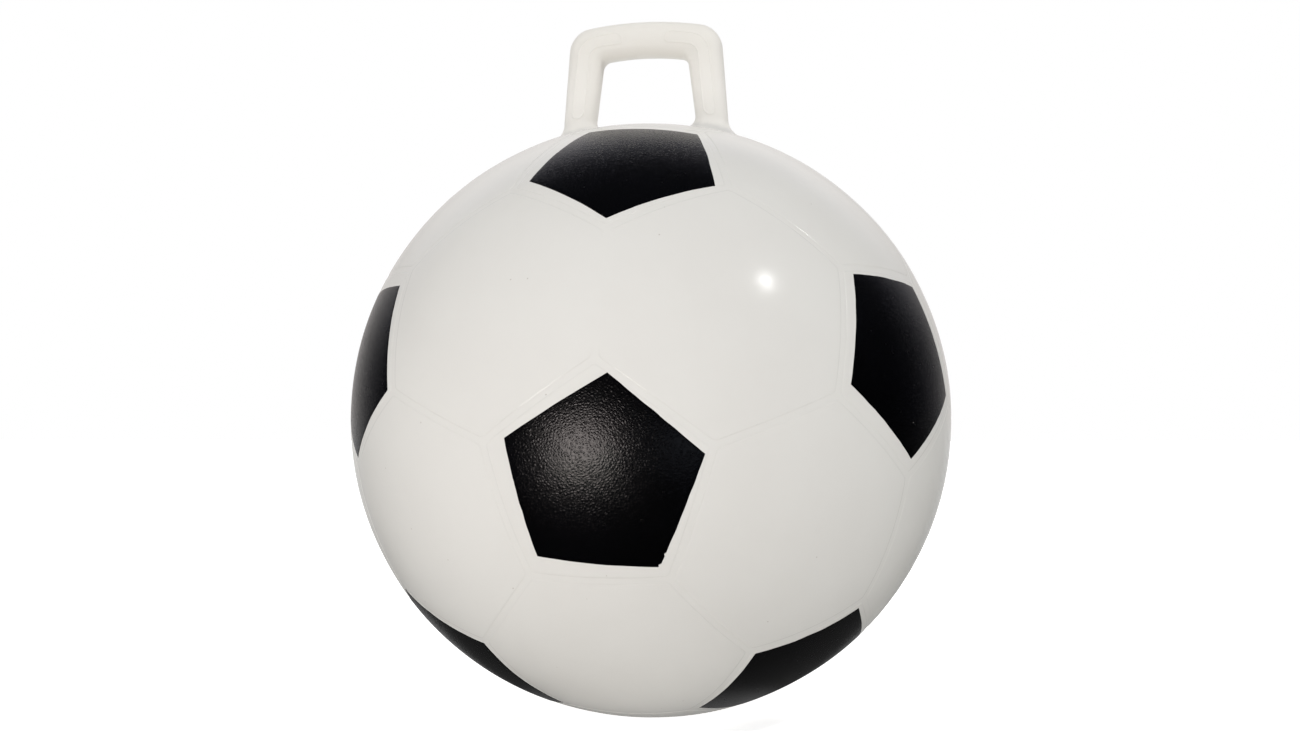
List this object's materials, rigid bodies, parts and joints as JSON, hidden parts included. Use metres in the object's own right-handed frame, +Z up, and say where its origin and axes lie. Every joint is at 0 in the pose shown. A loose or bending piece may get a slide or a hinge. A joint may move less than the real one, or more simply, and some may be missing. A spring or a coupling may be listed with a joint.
{
  "type": "hopper ball",
  "caption": "Inflatable vinyl hopper ball with a football pattern, a moulded loop handle to hold while bouncing, and a push-in air valve.",
  "frame": {"origin": "on the floor, under the middle of the ball", "axes": "+Z up, X along the loop of the handle, -Y towards the front of the ball"},
  "size_m": [0.46, 0.4606, 0.5373],
  "materials": {
    "white_vinyl": "satin painted vinyl, smooth, with shallow channels along the seams",
    "black_paint": "semi-gloss black paint over a fine leather grain",
    "cream_vinyl": "bare cream vinyl, satin",
    "soft_vinyl": "soft matt vinyl",
    "plug_plastic": "moulded white polyethylene"
  },
  "bodies": {
    "ball": {"ball_skin": "white_vinyl", "black_panels": "black_paint", "grip_handle": "cream_vinyl", "valve_seat": "soft_vinyl"},
    "plug": {"valve_plug": "plug_plastic"}
  },
  "joints": [
    {"name": "plug_pull", "type": "slide", "parent": "ball", "child": "plug", "axis": [0, 0.6665, 0.7455], "range_m": [0, 0.03]}
  ]
}
